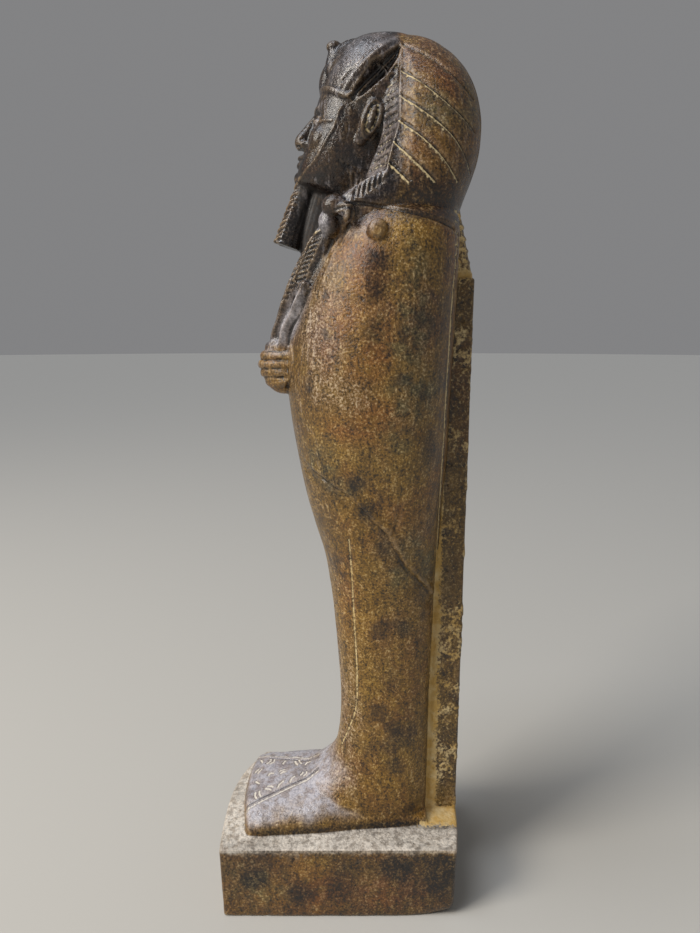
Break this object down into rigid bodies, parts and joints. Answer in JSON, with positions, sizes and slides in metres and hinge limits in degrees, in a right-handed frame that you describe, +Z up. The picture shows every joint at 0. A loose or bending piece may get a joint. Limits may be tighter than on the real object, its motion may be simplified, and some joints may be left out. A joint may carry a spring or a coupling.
{
  "type": "pharaoh statue",
  "caption": "Carved stone statue of a standing mummy-shaped pharaoh with headcloth, false beard, crook and flail, a back pillar and a plinth.",
  "frame": {"origin": "middle of the plinth's flat underside", "axes": "+Z up along the figure, which faces -Y; its left side is +X"},
  "size_m": [0.0853, 0.1042, 0.35],
  "materials": {
    "stone": "smooth, waxy, worn and mottled"
  },
  "bodies": {
    "root": {"pharaoh_statue": "stone"}
  },
  "joints": []
}
